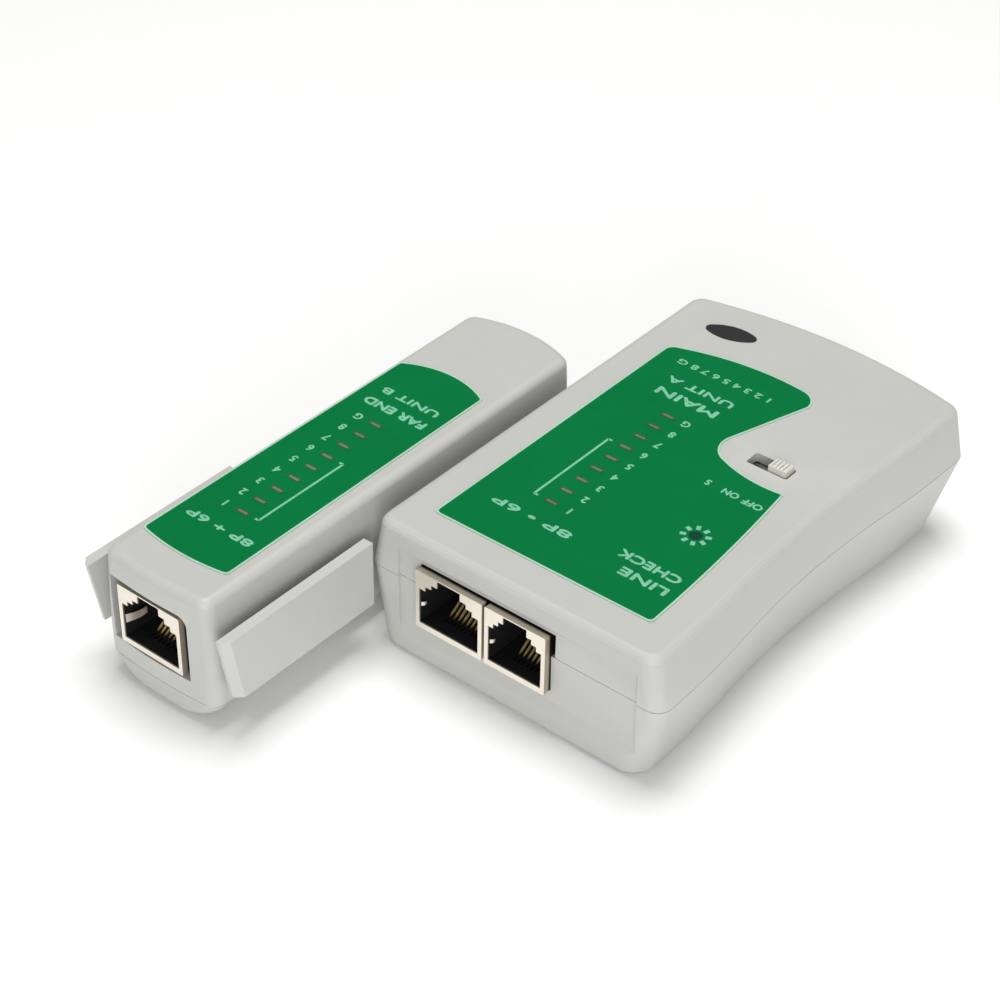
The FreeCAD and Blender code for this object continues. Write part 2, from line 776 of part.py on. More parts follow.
def make_lamps(label, column, first):
    """Nine flat-topped lamps: a slim lens on a wider foot that stands on the board."""
    x = as_size(column).value
    top = DRIVING_SIZES["case_height"] + 0.05
    board_top = DRIVING_SIZES["board_bottom"] + DRIVING_SIZES["board_thickness"]
    half_length = DRIVING_SIZES["lamp_length"] / 2
    half_width = DRIVING_SIZES["lamp_width"] / 2
    lamps = []
    for number in range(9):
        y = as_size(first).value + number * DRIVING_SIZES["lamp_pitch"]
        lens = box_between((x - half_length, y - half_width, board_top + 0.9),
                           (x + half_length, y + half_width, top))
        foot = box_between((x - half_length - 0.5, y - half_width - 0.5, board_top),
                           (x + half_length + 0.5, y + half_width + 0.5, board_top + 1))
        lamps.append(lens.fuse(foot).removeSplitter())
    primitive_group(label, lamps)


def make_power_lamp():
    """A round lamp under the overlay's star."""
    board_top = DRIVING_SIZES["board_bottom"] + DRIVING_SIZES["board_thickness"]
    x, y = DRIVING_SIZES["power_lamp_x"], DRIVING_SIZES["power_lamp_y"]
    radius = DRIVING_SIZES["power_lamp_radius"]
    top = DRIVING_SIZES["case_height"] - 0.5
    barrel = Part.makeCylinder(radius, top - radius - board_top, FreeCAD.Vector(x, y, board_top))
    dome = Part.makeSphere(radius, FreeCAD.Vector(x, y, top - radius))
    flange = Part.makeCylinder(radius + 0.3, 0.9, FreeCAD.Vector(x, y, board_top))
    primitive_group("master_power_led", [barrel.fuse([dome, flange]).removeSplitter()])


# ---------------------------------------------------------------- board and electronics

def make_board():
    """The one board: it hangs under the lid and carries the jacks, lamps, switch and chips."""
    low, high = size.board_bottom, size.board_bottom + size.board_thickness
    half = size.board_half_width
    board = Piece("master_circuit_board")
    board.pad("XY", low, high, outline([
        (-half, -size.board_front), (half, -size.board_front), (half - 0.6, size.board_rear),
        (-half, size.board_rear)], {1: -1.6}))
    board.pocket("XY", low - 1, high + 1, *[circle(x, y, size.boss_radius + 0.3) for x, y in boss_places()])
    board.pocket("XY", low - 1, high + 1, *[circle(x, y, 0.9) for x, y in BOARD_SCREWS])


def chip(left, front, length, width, top):
    """A dual-in-line chip hanging under the board: moulded body and two rows of legs."""
    body = box_between((left, front, top - 3.6), (left + length, front + width, top - 0.5))
    body = body.makeChamfer(0.25, [edge for edge in body.Edges if edge.BoundBox.ZLength < 0.01])
    solids = [body]
    for leg in range(int(length / 2.54)):
        x = left + 1.0 + leg * 2.54
        for y0, y1 in ((front - 0.75, front - 0.45), (front + width + 0.45, front + width + 0.75)):
            solids.append(box_between((x, y0, top - 2.2), (x + 0.5, y1, top)))
            inner = (min(y0, front), max(y1, front)) if y0 < front else (front + width, y1)
            solids.append(box_between((x, inner[0], top - 2.2), (x + 0.5, inner[1], top - 1.9)))
    return solids[0].fuse(solids[1:]).removeSplitter()


def make_chips():
    top = DRIVING_SIZES["board_bottom"]
    primitive_group("timer_chip", [chip(10.0, -33.0, 9.6, 6.4, top)])
    primitive_group("counter_chip", [chip(-18.0, -33.0, 19.6, 6.4, top)])


def axial_part(x, y, top, body_radius, body_length):
    """A small leaded part lying under the board, along X."""
    z = top - body_radius - 0.3
    half = body_length / 2
    body = rod((x - half, y, z), (x + half, y, z), body_radius)
    lead = rod((x - half - 1.4, y, z), (x + half + 1.4, y, z), 0.28)
    legs = [rod((x + side, y, z), (x + side, y, top), 0.27) for side in (-half - 1.2, half + 1.2)]
    return body.fuse([lead] + legs)


def capacitor(x, y, top):
    """An upright round capacitor hanging under the board on two legs."""
    can = Part.makeCylinder(2.5, 7.0, FreeCAD.Vector(x, y, top - 7.3))
    can = can.makeFillet(0.4, [can.Edges[0]])
    return can.fuse([rod((x + side, y, top - 1), (x + side, y, top), 0.3) for side in (-1, 1)])


def make_small_parts():
    top = DRIVING_SIZES["board_bottom"]
    primitive_group("resistors", [axial_part(-22.5 + 9.0 * column, -24.0 + 3.0 * row, top, 0.85, 3.4)
                                  for column in range(5) for row in range(2)])
    primitive_group("diodes", [axial_part(17.5, 6.0 + 3.6 * row, top, 0.8, 2.6) for row in range(8)])
    primitive_group("capacitors", [capacitor(22.0, -37.0, top), capacitor(15.0, -39.5, top)])


# ---------------------------------------------------------------- battery and its clip

def make_battery():
    """A nine-volt block lying lengthwise, its two studs facing the jacks."""
    half = size.battery_width / 2
    low, high = size.battery_bottom, size.battery_bottom + size.battery_height
    front = size.battery_front
    battery = Piece("battery")
    battery.pad("XZ", front, front + size.battery_length, rectangle(-half, low, half, high))
    battery.fillet(1.8, lambda edge: edge.BoundBox.YLength > 20)
    y = DRIVING_SIZES["battery_front"]
    z = DRIVING_SIZES["battery_bottom"] + DRIVING_SIZES["battery_height"] / 2
    stud_height = DRIVING_SIZES["terminal_height"]
    stud_x = 6.35
    small_stud = rod((-stud_x, y, z), (-stud_x, y - stud_height, z), 2.9)
    large_stud = rod((stud_x, y, z), (stud_x, y - stud_height, z), 3.6)
    primitive_group("battery_terminals", [small_stud, large_stud])

    clip = Piece("battery_snap_connector")
    back = front - 0.1
    clip.pad("XZ", back - 3.4, back, rectangle(-12.5, z - 6.0, 12.5, z + 6.0))
    clip.fillet(1.5, lambda edge: 3 < edge.BoundBox.YLength < 3.6)
    clip.pocket("XZ", back - size.terminal_height - 0.4, back + 1,
                circle(-stud_x, z, 3.15), circle(stud_x, z, 3.85))


def make_lead(label, x, finish_x):
    """A stranded lead from the clip up to the board, one tangent arc at each turn."""
    radius = 0.65
    bend = 2.4
    z0 = DRIVING_SIZES["battery_bottom"] + DRIVING_SIZES["battery_height"] / 2 + 3.5
    y0 = DRIVING_SIZES["battery_front"] - 3.5
    top = DRIVING_SIZES["board_bottom"]
    corner = FreeCAD.Vector(x, y0 - 3.0, z0)
    start = FreeCAD.Vector(x, y0, z0)
    bend_in = FreeCAD.Vector(x, y0 - 3.0 + bend, z0)
    bend_out = FreeCAD.Vector(x, y0 - 3.0, z0 + bend)
    slant = bend * (1 - math.sqrt(0.5))
    middle = corner + FreeCAD.Vector(0, slant, slant)
    finish = FreeCAD.Vector(finish_x, y0 - 3.0, top)
    path = Part.Wire([Part.LineSegment(start, bend_in).toShape(),
                      Part.Arc(bend_in, middle, bend_out).toShape(),
                      Part.LineSegment(bend_out, finish).toShape()])
    section = Part.Wire(Part.makeCircle(radius, start, FreeCAD.Vector(0, 1, 0)))
    primitive_group(label, [path.makePipeShell([section], True, False)])


# ---------------------------------------------------------------- screws

def screw(x, y, head_low, head_radius, head_height, shank_radius, tip):
    """A pan-head self-tapping screw, head down, with a cross recess."""
    head = Part.makeCylinder(head_radius, head_height, FreeCAD.Vector(x, y, head_low))
    rim = [edge for edge in head.Edges if edge.BoundBox.ZMax < head_low + 0.01]
    head = head.makeFillet(head_height * 0.4, rim)
    shank = Part.makeCylinder(shank_radius, tip - head_low - 1.5, FreeCAD.Vector(x, y, head_low))
    point = Part.makeCone(shank_radius, 0.2, 1.5, FreeCAD.Vector(x, y, tip - 1.5))
    solid = head.fuse([shank, point])
    arm = head_radius * 0.55
    for reach_x, reach_y in ((arm, 0.3), (0.3, arm)):
        solid = solid.cut(box_between((x - reach_x, y - reach_y, head_low - 1),
                                      (x + reach_x, y + reach_y, head_low + head_height * 0.6)))
    return solid


def make_screws():
    board_bottom = DRIVING_SIZES["board_bottom"]
    board_tip = board_bottom + DRIVING_SIZES["board_thickness"] + 1.6
    places = [(as_size(x).value, as_size(y).value) for x, y in boss_places()]
    primitive_group("case_screws", [screw(x, y, 9.9, 2.0, 1.1, 1.05, 23.5) for x, y in places])
    primitive_group("board_screws", [screw(x, y, board_bottom - 1.1, 1.7, 1.1, 0.75, board_tip)
                                     for x, y in BOARD_SCREWS])
    x = DRIVING_SIZES["remote_x"]
    primitive_group("remote_screws", [screw(x, y, 1.2, 2.0, 1.1, 1.05, 14.0) for y in REMOTE_SCREWS])


# ---------------------------------------------------------------- the remote unit

def trim_ends(piece, low, high, inset=0):
    """Cut both ends of a long blank to their arcs, seen from above."""
    x = size.remote_x
    front = size.remote_front + inset
    rear = size.remote_rear - inset
    piece.pocket("XY", low, high, outline(
        [(x - 15, -110), (x + 15, -110), (x + 15, front), (x - 15, front)], {2: -size.remote_front_arch}))
    piece.pocket("XY", low, high, outline(
        [(x - 15, rear), (x + 15, rear), (x + 15, 30), (x - 15, 30)], {0: -size.remote_rear_arch}))


def make_remote_cover():
    """The remote's deep lid: it carries the front window, the overlay and the lamps."""
    x = size.remote_x
    seam = size.remote_parting + size.seam_gap
    wall = size.case_wall
    cover = Piece("remote_top_cover")
    cover.pad("XZ", -100, 20, outline([
        (x - size.remote_parting_half, seam), (x + size.remote_parting_half, seam),
        (x + size.remote_belly_half, size.remote_belly_height), (x + size.remote_top_half, size.case_height),
        (x - size.remote_top_half, size.case_height), (x - size.remote_belly_half, size.remote_belly_height)],
        {2: 0.25, 4: 0.25}))
    trim_ends(cover, seam - 1, size.case_height + 1)
    cover.fillet(2.6, lambda edge: upright(edge) and edge.BoundBox.ZLength > 8)
    cover.fillet(size.top_edge_radius, at_level(size.case_height))
    cover.pocket("XZ", size.remote_front + 1.2, size.remote_rear - 0.8, outline([
        (x - size.remote_parting_half + wall, seam - 1), (x + size.remote_parting_half - wall, seam - 1),
        (x + size.remote_belly_half - wall, size.remote_belly_height),
        (x + size.remote_top_half - wall, size.case_height - wall),
        (x - size.remote_top_half + wall, size.case_height - wall),
        (x - size.remote_belly_half + wall, size.remote_belly_height)]))
    cover.pocket("XZ", size.remote_front - 3, size.remote_front + 3, remote_window())
    ceiling = size.case_height - wall
    bottom = size.case_height - size.overlay_recess
    cover.pocket("XY", bottom, size.case_height + 1, remote_label_outline(OVERLAY_FIT))
    for y in REMOTE_SCREWS:
        cover.pad("XY", size.remote_parting + 0.6, ceiling + 0.2, circle(x, y, size.remote_boss_radius))
    cover.pocket("XY", 0, 15.5, *[circle(x, y, size.boss_bore) for y in REMOTE_SCREWS])
    lamp_slots(cover, ceiling - 1, size.case_height + 1, x + size.remote_lamp_shift,
               size.remote_first_lamp, 0.15)
    docking_wings(cover)


def remote_window():
    """The front opening round the remote's jack; its inner top corner is well rounded."""
    left = size.remote_x - size.remote_window_left
    right = size.remote_x + size.remote_window_right
    low, high = size.remote_window_low, size.remote_window_high
    corner = size.remote_window_corner
    return outline([(left, low), (right, low), (right, high - corner), (right - corner, high), (left, high)],
                   arcs={2: corner})


def docking_wings(cover):
    """A plate along the front of each side, standing off on a web, its front end slanted."""
    x = size.remote_x
    low, front, rear = size.wing_bottom, size.wing_front, size.wing_rear
    outside = size.wing_outside
    inside = outside - size.wing_thickness
    root = size.remote_top_half - 0.5
    plate = [(front + size.wing_slant, low), (rear, low), (rear, size.wing_top), (front, size.wing_top)]
    for side in (-1, 1):
        faces = (inside, outside) if side > 0 else (-outside, -inside)
        joins = (root, inside + 0.1) if side > 0 else (-inside - 0.1, -root)
        cover.pad("YZ", x + faces[0], x + faces[1], outline(plate))
        cover.pad("YZ", x + joins[0], x + joins[1], rectangle(front + 8, low, rear, low + 1.6))
    cover.fillet(size.wing_chamfer, lambda edge: edge.BoundBox.ZLength > 12 and edge.BoundBox.YMax < -85
                 and abs(abs(edge.CenterOfMass.x - x.value) - outside.value) < 0.2, chamfer=True)


def make_remote_base():
    """The remote's keel-shaped base."""
    x = size.remote_x
    wall = size.case_wall
    base = Piece("remote_base")
    half, foot, seam = size.remote_parting_half, size.remote_foot_half, size.remote_parting
    base.pad("XZ", -100, 20, outline(
        [(x - half, seam), (x - foot, 0), (x + foot, 0), (x + half, seam)],
        {0: size.remote_keel_arch, 2: size.remote_keel_arch}))
    trim_ends(base, -1, seam + 1)
    base.fillet(2.6, lambda edge: upright(edge) or edge.BoundBox.ZLength > 3 and edge.BoundBox.YLength < 8)
    base.pocket("XZ", size.remote_front + 1.2, size.remote_rear - 0.8, outline(
        [(x - half + wall, seam + 1), (x - half + wall, seam), (x - foot, wall),
         (x + foot, wall), (x + half - wall, seam), (x + half - wall, seam + 1)],
        {1: size.remote_keel_arch, 3: size.remote_keel_arch}))
    for y in REMOTE_SCREWS:
        base.pad("XY", wall - 0.2, size.remote_parting, circle(x, y, size.remote_boss_radius))
    base.pocket("XY", -1, 2.4, *[circle(x, y, 2.2) for y in REMOTE_SCREWS])
    base.pocket("XY", 2, size.remote_parting + 1, *[circle(x, y, 1.35) for y in REMOTE_SCREWS])


def make_remote_board():
    x = size.remote_x
    low, high = size.board_bottom, size.board_bottom + size.board_thickness
    board = Piece("remote_circuit_board")
    board.pad("XY", low, high, rectangle(x - 10, size.remote_front + 3.2, x + 10, size.remote_rear - 2))
    hole = size.remote_boss_radius + 0.3
    board.pocket("XY", low - 1, high + 1, *[circle(x, y, hole) for y in REMOTE_SCREWS])
    top = DRIVING_SIZES["board_bottom"]
    column = DRIVING_SIZES["remote_x"]
    primitive_group("remote_resistors", [axial_part(column + 5.2 * side, -56.0 + 4.544 * row, top, 0.85, 3.4)
                                         for row in range(8) for side in (-1, 1)])


make_top_cover()
make_bottom_case()
make_battery_door()
make_labels()
master_jack_front = -size.front_face - size.jack_proud
make_jack("rj45_jack", size.wide_jack_centre, size.wide_jack_width, master_jack_front, size.jack_bottom, 8)
make_jack("rj11_jack", size.narrow_jack_centre, size.narrow_jack_width, master_jack_front,
          size.jack_bottom, 6)
make_switch()
make_lamps("master_leds", size.lamp_column, size.first_lamp)
make_power_lamp()
make_board()
make_chips()
make_small_parts()
make_battery()
make_lead("battery_lead_red", 9.0, 7.0)
make_lead("battery_lead_black", -9.0, -7.0)
make_screws()
make_remote_cover()
make_remote_base()
make_jack("remote_jack", size.remote_x + size.remote_jack_shift, size.wide_jack_width,
          size.remote_front - size.remote_jack_proud, size.remote_jack_bottom, 8)
make_lamps("remote_leds", size.remote_x + size.remote_lamp_shift, size.remote_first_lamp)
make_remote_board()
doc.recompute()

failed = [thing.Name for thing in doc.Objects if "Invalid" in thing.State or "Error" in thing.State]
if failed:
    raise RuntimeError(f"objects that did not build: {failed}")
for piece in pieces:
    if piece.Shape.isNull() or not piece.Shape.isValid():
        raise RuntimeError(f"{piece.Label} has no valid shape")

os.makedirs("parts", exist_ok=True)
for piece in pieces:
    piece.Shape.exportStep(f"parts/{piece.Label}.step")
    print(f"{piece.Label:26s} solids {len(piece.Shape.Solids):2d} volume {piece.Shape.Volume:10.1f}")
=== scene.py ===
import json
import math

import bmesh
import bpy
from mathutils import Matrix, Vector


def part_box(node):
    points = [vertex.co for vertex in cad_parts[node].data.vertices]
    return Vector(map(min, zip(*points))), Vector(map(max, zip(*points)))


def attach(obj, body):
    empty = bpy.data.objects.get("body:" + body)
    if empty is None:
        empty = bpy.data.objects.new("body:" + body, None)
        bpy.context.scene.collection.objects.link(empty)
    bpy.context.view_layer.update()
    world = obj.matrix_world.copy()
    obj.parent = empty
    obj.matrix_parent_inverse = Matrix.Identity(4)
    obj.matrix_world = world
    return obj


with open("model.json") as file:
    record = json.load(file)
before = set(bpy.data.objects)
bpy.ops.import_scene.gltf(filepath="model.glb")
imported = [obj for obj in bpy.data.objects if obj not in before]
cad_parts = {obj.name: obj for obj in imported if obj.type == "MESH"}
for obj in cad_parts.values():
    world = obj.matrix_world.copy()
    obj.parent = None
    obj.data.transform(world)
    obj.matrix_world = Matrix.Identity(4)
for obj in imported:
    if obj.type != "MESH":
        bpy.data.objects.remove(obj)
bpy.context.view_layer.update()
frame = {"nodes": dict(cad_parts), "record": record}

MM = 0.001

# the sky's strength, and the power of the key and fill lights in watts
SKY = 0.35
KEY = 7.5
FILL = 8.0
# the table's half width; it lies a hair below the flat undersides, so that they never share a plane
TABLE_REACH = 4.0
TABLE_LEVEL = -0.02 * MM

# ---------------------------------------------------------------- camera, light and floor


def add_camera():
    """The camera stands in front of the jacks on the right, and looks down on both cases."""
    camera = bpy.data.objects.new("camera", bpy.data.cameras.new("camera"))
    bpy.context.scene.collection.objects.link(camera)
    camera.data.lens = 84.87
    camera.data.sensor_width = 36.0
    camera.data.clip_start = 0.01
    camera.data.clip_end = 10.0
    place = Vector((0.20108, -0.30460, 0.29325))
    roll, tilt, turn = 0.016968, 2.219383, -0.679910
    view = Matrix.Rotation(roll, 3, "Z") @ Matrix.Rotation(tilt, 3, "X") @ Matrix.Rotation(turn, 3, "Z")
    right, down, ahead = view.row
    camera.matrix_world = Matrix((
        (right.x, -down.x, -ahead.x, place.x),
        (right.y, -down.y, -ahead.y, place.y),
        (right.z, -down.z, -ahead.z, place.z),
        (0, 0, 0, 1),
    ))
    bpy.context.scene.camera = camera


def add_light(name, place, aim, size, power, colour=(1, 1, 1)):
    light = bpy.data.objects.new(name, bpy.data.lights.new(name, "AREA"))
    bpy.context.scene.collection.objects.link(light)
    light.data.shape = "DISK"
    light.data.size = size
    light.data.energy = power
    light.data.color = colour
    light.location = place
    light.rotation_mode = "QUATERNION"
    light.rotation_quaternion = (Vector(place) - Vector(aim)).to_track_quat("Z", "Y")


def add_studio():
    """White paper under a pale sky, a key light almost overhead and a low fill in front on the right."""
    centre = (-0.01, -0.02, 0.0)
    add_light("key", (-0.09, 0.09, 1.0), centre, 0.6, KEY, (1.0, 0.995, 0.98))
    add_light("fill", (0.75, -0.95, 0.35), (0.0, -0.03, 0.02), 0.7, FILL)
    world = bpy.data.worlds.new("studio")
    world.use_nodes = True
    sky = world.node_tree.nodes["Background"].inputs
    sky["Color"].default_value = (1, 1, 1, 1)
    sky["Strength"].default_value = SKY
    scene = bpy.context.scene
    scene.world = world
    scene.view_settings.view_transform = "Standard"
    mesh = bpy.data.meshes.new("table")
    signs = ((-1, -1), (1, -1), (1, 1), (-1, 1))
    corners = [(right * TABLE_REACH, rear * TABLE_REACH, TABLE_LEVEL) for right, rear in signs]
    mesh.from_pydata(corners, [], [(0, 1, 2, 3)])
    table = bpy.data.objects.new("table", mesh)
    scene.collection.objects.link(table)
    table.data.materials.append(table_material())


# ---------------------------------------------------------------- materials


def new_material(name):
    """An empty node material, its shader and a helper that adds nodes to it."""
    material = bpy.data.materials.new(name)
    material.use_nodes = True
    tree = material.node_tree
    shader = tree.nodes["Principled BSDF"]

    def node(kind, inputs=None, **settings):
        made = tree.nodes.new(kind)
        for key, value in settings.items():
            setattr(made, key, value)
        for key, value in (inputs or {}).items():
            if isinstance(value, bpy.types.NodeSocket):
                tree.links.new(value, made.inputs[key])
            else:
                made.inputs[key].default_value = value
        return made

    return material, shader, node, tree.links


def grain(node, places, size, detail=3.0):
    """Noise in the object's own space, with features of this size in metres."""
    return node("ShaderNodeTexNoise", {"Vector": places, "Scale": 1 / size, "Detail": detail,
                                       "Roughness": 0.6})


def surface(name, colour, roughness, grain_size, depth, spread, metallic=0.0, patch_size=12 * MM,
            roughness_spread=0.08, edge_light=0.0, **sockets):
    """A finish with fine grain, slow colour drift and a little change in gloss.

    The grain has a size and a depth in metres. The colour drifts by the share spread from patch to patch.
    """
    material, shader, node, links = new_material(name)
    places = node("ShaderNodeTexCoord").outputs["Object"]
    fine = grain(node, places, grain_size)
    slow = grain(node, places, patch_size, 4.0)
    darker = tuple(c * (1 - spread) for c in colour)
    lighter = tuple(min(1.0, c * (1 + spread)) for c in colour)
    drift = node("ShaderNodeValToRGB", {"Fac": slow.outputs["Fac"]})
    drift.color_ramp.elements[0].position = 0.3
    drift.color_ramp.elements[1].position = 0.7
    drift.color_ramp.elements[0].color = (*darker, 1)
    drift.color_ramp.elements[1].color = (*lighter, 1)
    paint = drift.outputs["Color"]
    if edge_light:
        worn = node("ShaderNodeValToRGB", {"Fac": node("ShaderNodeNewGeometry").outputs["Pointiness"]})
        worn.color_ramp.elements[0].position = 0.53
        worn.color_ramp.elements[1].position = 0.60
        worn.color_ramp.elements[0].color = (0, 0, 0, 1)
        worn.color_ramp.elements[1].color = (edge_light, edge_light, edge_light, 1)
        brighter = tuple(min(1.0, c * 1.15 + 0.03) for c in colour)
        paint = node("ShaderNodeMixRGB", {"Fac": worn.outputs["Color"], "Color1": paint,
                                          "Color2": (*brighter, 1)}).outputs["Color"]
    links.new(paint, shader.inputs["Base Color"])
    gloss = node("ShaderNodeMapRange", {"Value": fine.outputs["Fac"],
                                        "To Min": roughness - roughness_spread,
                                        "To Max": roughness + roughness_spread})
    links.new(gloss.outputs["Result"], shader.inputs["Roughness"])
    bump = node("ShaderNodeBump", {"Height": fine.outputs["Fac"], "Strength": 0.6, "Distance": depth})
    links.new(bump.outputs["Normal"], shader.inputs["Normal"])
    shader.inputs["Metallic"].default_value = metallic
    for socket, value in sockets.items():
        shader.inputs[socket.replace("_", " ")].default_value = value
    return material


def table_material():
    """Smooth white studio paper."""
    return surface("studio_paper", (0.93, 0.93, 0.93), 0.7, 0.0006, 0.00002, 0.004)


def contact_gold():
    """Gold-plated springs with painted shade: the gold is painted near black at both ends, for the shadow
    where they sink into the housing.
    """
    material, shader, node, links = new_material("contact_gold")
    places = node("ShaderNodeTexCoord").outputs["Object"]
    height = node("ShaderNodeSeparateXYZ", {"Vector": places}).outputs["Z"]
    # painted shade: heights in metres where the gold fades in from near black below, and back to near black
    # above
    painted_shade_below, painted_lit_from = 11.5 * MM, 12.1 * MM
    painted_lit_to, painted_shade_above = 13.2 * MM, 13.9 * MM
    rise = node("ShaderNodeMapRange", {"Value": height, "From Min": painted_shade_below, "From Max": painted_lit_from})
    fall = node("ShaderNodeMapRange", {"Value": height, "From Min": painted_shade_above, "From Max": painted_lit_to})
    bright = node("ShaderNodeMath", {0: rise.outputs["Result"], 1: fall.outputs["Result"]},
                  operation="MULTIPLY")
    worn = grain(node, places, 0.5 * MM)
    gold = node("ShaderNodeMixRGB", {"Fac": worn.outputs["Fac"], "Color1": (0.95, 0.72, 0.34, 1),
                                     "Color2": (0.80, 0.55, 0.20, 1)})
    # mixes the gold with the painted shade's near black outside the band of heights
    paint = node("ShaderNodeMixRGB", {"Fac": bright.outputs["Value"], "Color1": (0.02, 0.015, 0.01, 1),
                                      "Color2": gold.outputs["Color"]})
    links.new(paint.outputs["Color"], shader.inputs["Base Color"])
    shader.inputs["Metallic"].default_value = 0.7
    shader.inputs["Roughness"].default_value = 0.3
    return material


# each finish: its colour, its roughness, the grain's size and depth in metres, and the colour's spread
MATERIALS = {
    "case_plastic": surface("case_plastic", (0.50, 0.50, 0.475), 0.42, 0.00035, 0.00003, 0.015,
                            edge_light=0.25),
    "label_green": surface("label_green", (0.0, 0.160, 0.042), 0.45, 0.0005, 0.00001, 0.04,
                           Specular_IOR_Level=0.04),
    "badge_black": surface("badge_black", (0.012, 0.012, 0.016), 0.25, 0.0004, 0.00001, 0.1),
    "jack_metal": surface("jack_metal", (0.86, 0.80, 0.70), 0.34, 0.0009, 0.000002, 0.03, 0.75, 0.006,
                          roughness_spread=0.03),
    "jack_black": surface("jack_black", (0.010, 0.010, 0.011), 0.45, 0.0003, 0.00002, 0.1),
    "contact_gold": contact_gold(),
    "switch_metal": surface("switch_metal", (0.62, 0.61, 0.58), 0.35, 0.0003, 0.00001, 0.08, 1.0, 0.003),
    "knob_plastic": surface("knob_plastic", (0.62, 0.61, 0.55), 0.45, 0.0003, 0.00002, 0.03,
                            edge_light=0.3),
    "led_lens": surface("led_lens", (0.085, 0.105, 0.062), 0.35, 0.0004, 0.00001, 0.25, patch_size=0.002,
                        Subsurface_Weight=0.1),
    "power_led_lens": surface("power_led_lens", (0.03, 0.20, 0.06), 0.25, 0.0004, 0.00001, 0.1,
                              Transmission_Weight=0.3),
    "board_green": surface("board_green", (0.02, 0.14, 0.05), 0.35, 0.0006, 0.00003, 0.12,
                           patch_size=0.006),
    "chip_black": surface("chip_black", (0.02, 0.02, 0.021), 0.6, 0.0002, 0.00003, 0.1),
    "resistor_body": surface("resistor_body", (0.55, 0.40, 0.22), 0.4, 0.0004, 0.00002, 0.1),
    "diode_body": surface("diode_body", (0.45, 0.12, 0.04), 0.12, 0.0004, 0.00001, 0.1),
    "capacitor_sleeve": surface("capacitor_sleeve", (0.02, 0.03, 0.10), 0.3, 0.0004, 0.00001, 0.1),
    "battery_case": surface("battery_case", (0.05, 0.05, 0.06), 0.35, 0.0005, 0.00001, 0.1, 0.3),
    "lead_red": surface("lead_red", (0.45, 0.01, 0.01), 0.4, 0.0003, 0.00002, 0.08),
    "lead_black": surface("lead_black", (0.012, 0.012, 0.012), 0.4, 0.0003, 0.00002, 0.08),
    "screw_steel": surface("screw_steel", (0.58, 0.58, 0.57), 0.3, 0.0003, 0.00001, 0.08, 1.0, 0.002),
}
INK = surface("overlay_ink", (0.17, 0.50, 0.32), 0.40, 0.00025, 0.00001, 0.12, patch_size=0.0015)
BORDER = surface("overlay_border", (0.40, 0.60, 0.47), 0.40, 0.0005, 0.00001, 0.04)
LAMP_MASK = surface("lamp_mask", (0.004, 0.050, 0.024), 0.45, 0.0005, 0.00001, 0.10,
                    Specular_IOR_Level=0.06)
LAMP_RIM = surface("lamp_rim", (0.030, 0.100, 0.045), 0.45, 0.0005, 0.00001, 0.15,
                   Specular_IOR_Level=0.1)
# painted highlight: a paler patch laid over the middle of each lamp's window
LAMP_PAINTED_HIGHLIGHT = surface("lamp_painted_highlight", (0.120, 0.190, 0.105), 0.40, 0.0004, 0.00001, 0.15,
                    Specular_IOR_Level=0.2)


def shield_side_painted_shade(name, front):
    """The shield's flanks with painted shade: a darker copy of the front's colour with random stains,
    painted near black from 1 mm behind its front, for the shadow where it runs on into the case.
    """
    material, shader, node, links = new_material(name)
    places = node("ShaderNodeTexCoord").outputs["Object"]
    depth = node("ShaderNodeSeparateXYZ", {"Vector": places}).outputs["Y"]
    # painted shade: the flanks turn near black between 1.0 and 1.5 mm behind the front, for the shadow in
    # the gap
    inside = node("ShaderNodeMapRange", {"Value": depth, "From Min": front + 1.0 * MM,
                                         "From Max": front + 1.5 * MM})
    stain = grain(node, places, 4 * MM, 4.0)
    # painted shade: these browns are darker copies of the front's metal colour, with random stains mixed
    # between them
    metal = node("ShaderNodeMixRGB", {"Fac": stain.outputs["Fac"], "Color1": (0.50, 0.45, 0.35, 1),
                                      "Color2": (0.38, 0.34, 0.26, 1)})
    paint = node("ShaderNodeMixRGB", {"Fac": inside.outputs["Result"], "Color1": metal.outputs["Color"],
                                      "Color2": (0.012, 0.011, 0.009, 1)})
    links.new(paint.outputs["Color"], shader.inputs["Base Color"])
    shader.inputs["Metallic"].default_value = 0.5
    shader.inputs["Roughness"].default_value = 0.4
    return material


def dress_cad_nodes():
    """Give every CAD node its slot's finish; shields and overlays get a second one on their flanks, the
    shields' being a copy of their metal with painted shade.
    """
    slots = {part["node"]: part["material_slot"] for part in frame["record"]["subparts"]}
    for name, piece in frame["nodes"].items():
        piece.data.materials.clear()
        piece.data.materials.append(MATERIALS[slots[name]])
        shield = name.endswith("_shield")
        overlay = name.endswith("_label")
        if shield:
            piece.data.materials.append(shield_side_painted_shade(name + "_side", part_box(name)[0].y))
        if overlay:
            piece.data.materials.append(BORDER)
        for polygon in piece.data.polygons:
            # a shield's flanks take the copy of its metal with painted shade
            beside = shield and polygon.normal.y > -0.5 or overlay and polygon.normal.z < 0.5
            polygon.material_index = 1 if beside else 0


# ---------------------------------------------------------------- print on the overlays

LABEL_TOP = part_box("master_label")[1].z
# how far each layer of ink lies above the one below it, and each copy of a bold letter above the one before
INK_LIFT = 0.02 * MM
COPY_LIFT = INK_LIFT / 8
# a capital letter's height as a share of the font's size
CAP_SHARE = 0.70
# everything that is printed has its place and size in millimetres
BORDER_WIDTH = 0.42
BRACKET_WIDTH = 0.50
BRACKET_STUB = 0.9
